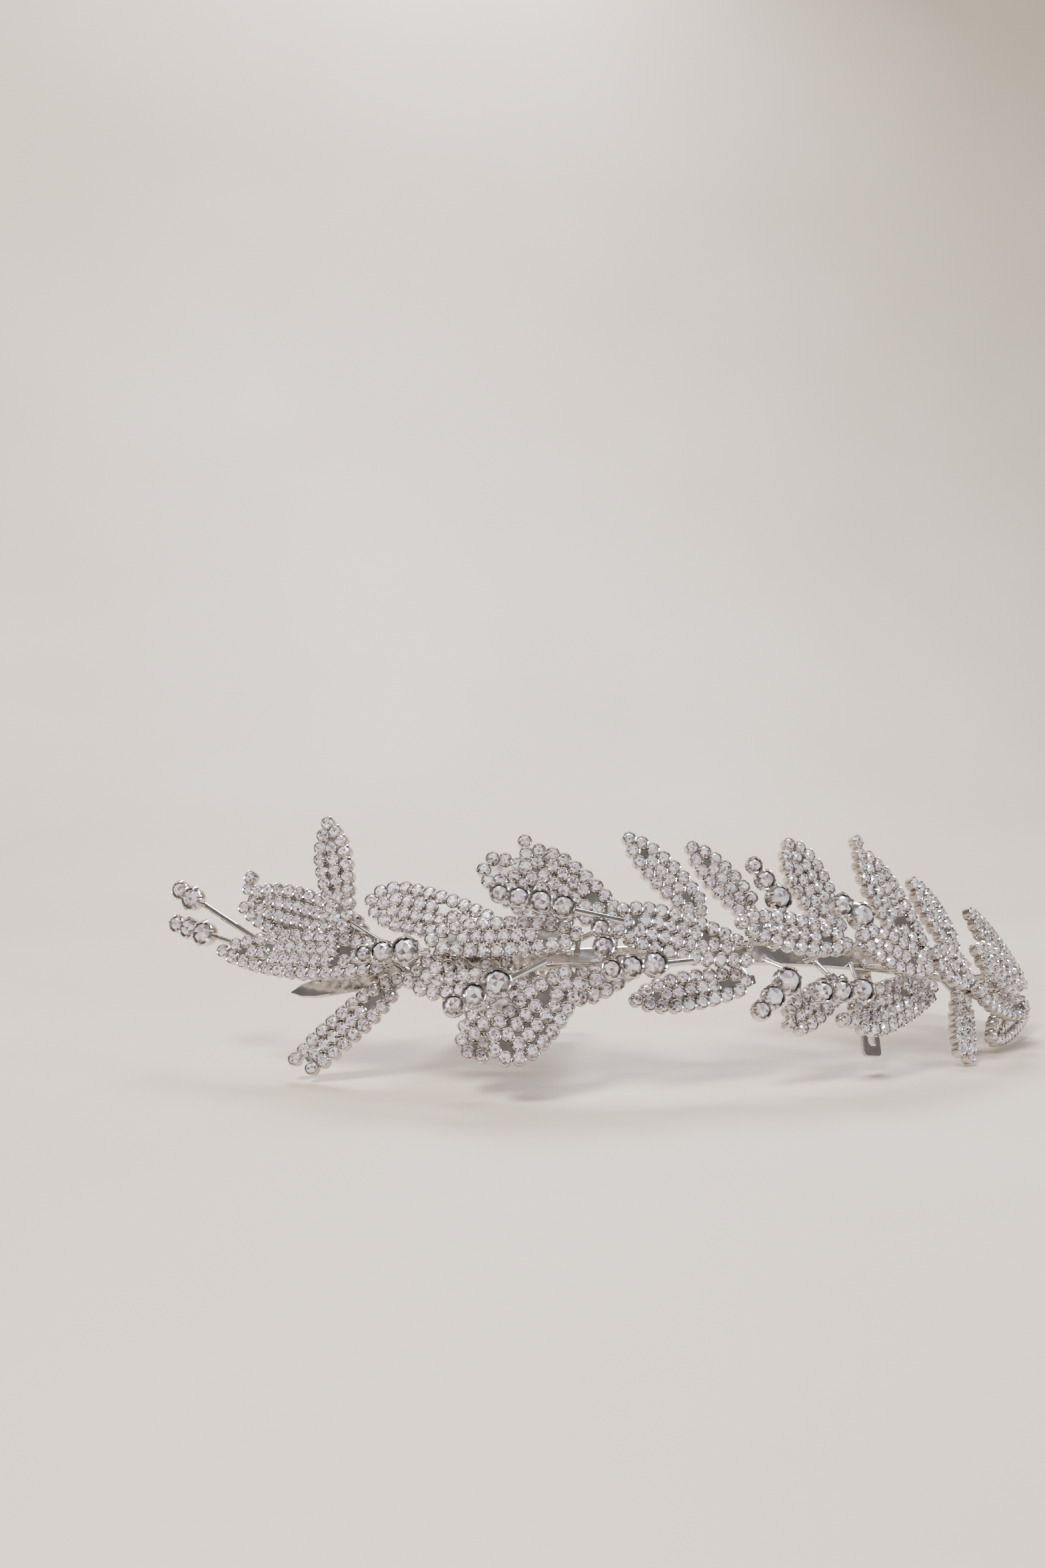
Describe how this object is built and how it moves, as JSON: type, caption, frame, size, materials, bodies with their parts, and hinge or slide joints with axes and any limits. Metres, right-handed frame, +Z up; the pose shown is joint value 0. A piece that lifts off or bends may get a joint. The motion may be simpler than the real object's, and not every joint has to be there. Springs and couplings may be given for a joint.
{
  "type": "bridal tiara with two hair combs",
  "caption": "Curved hair ornament: overlapping stone-set laurel leaves and small buds on a flat band stem, with two wire combs and a pin tab behind.",
  "frame": {"origin": "bottom centre of the bounding box, on the table the tiara stands on", "axes": "+X along the tiara's length, from the bud end to the stem's bare end; +Y from the front leaves back towards the comb teeth; +Z up"},
  "size_m": [0.1633, 0.0809, 0.0427],
  "materials": {
    "rhodium_settings": "polished",
    "silver_wire": "polished",
    "crystal": "polished"
  },
  "bodies": {
    "root": {"main_stem": "rhodium_settings", "comb_left_spine": "silver_wire", "comb_left_teeth": "silver_wire", "comb_right_spine": "silver_wire", "comb_right_teeth": "silver_wire", "pin_tab": "rhodium_settings", "upper_leaf_1": "rhodium_settings", "upper_leaf_2": "rhodium_settings", "upper_leaf_3": "rhodium_settings", "upper_leaf_4": "rhodium_settings", "upper_leaf_5": "rhodium_settings", "upper_leaf_6": "rhodium_settings", "upper_leaf_7": "rhodium_settings", "upper_leaf_8": "rhodium_settings", "upper_leaf_9": "rhodium_settings", "upper_leaf_10": "rhodium_settings", "upper_leaf_11": "rhodium_settings", "lower_leaf_1": "rhodium_settings", "lower_leaf_2": "rhodium_settings", "lower_leaf_3": "rhodium_settings", "lower_leaf_4": "rhodium_settings", "lower_leaf_5": "rhodium_settings", "lower_leaf_6": "rhodium_settings", "lower_leaf_7": "rhodium_settings", "lower_leaf_8": "rhodium_settings", "lower_leaf_9": "rhodium_settings", "front_leaf_1": "rhodium_settings", "front_leaf_2": "rhodium_settings", "front_leaf_3": "rhodium_settings", "front_leaf_4": "rhodium_settings", "front_leaf_5": "rhodium_settings", "front_leaf_6": "rhodium_settings", "front_leaf_7": "rhodium_settings", "front_leaf_8": "rhodium_settings", "front_leaf_9": "rhodium_settings", "bud_1": "rhodium_settings", "bud_2": "rhodium_settings", "bud_3": "rhodium_settings", "bud_4": "rhodium_settings", "bud_5": "rhodium_settings", "bud_6": "rhodium_settings", "bud_7": "rhodium_settings", "bud_8": "rhodium_settings", "bud_9": "rhodium_settings", "bud_10": "rhodium_settings", "bud_11": "rhodium_settings", "upper_leaf_stones": "crystal", "lower_leaf_stones": "crystal", "front_leaf_stones": "crystal", "bud_stones": "crystal"}
  },
  "joints": []
}
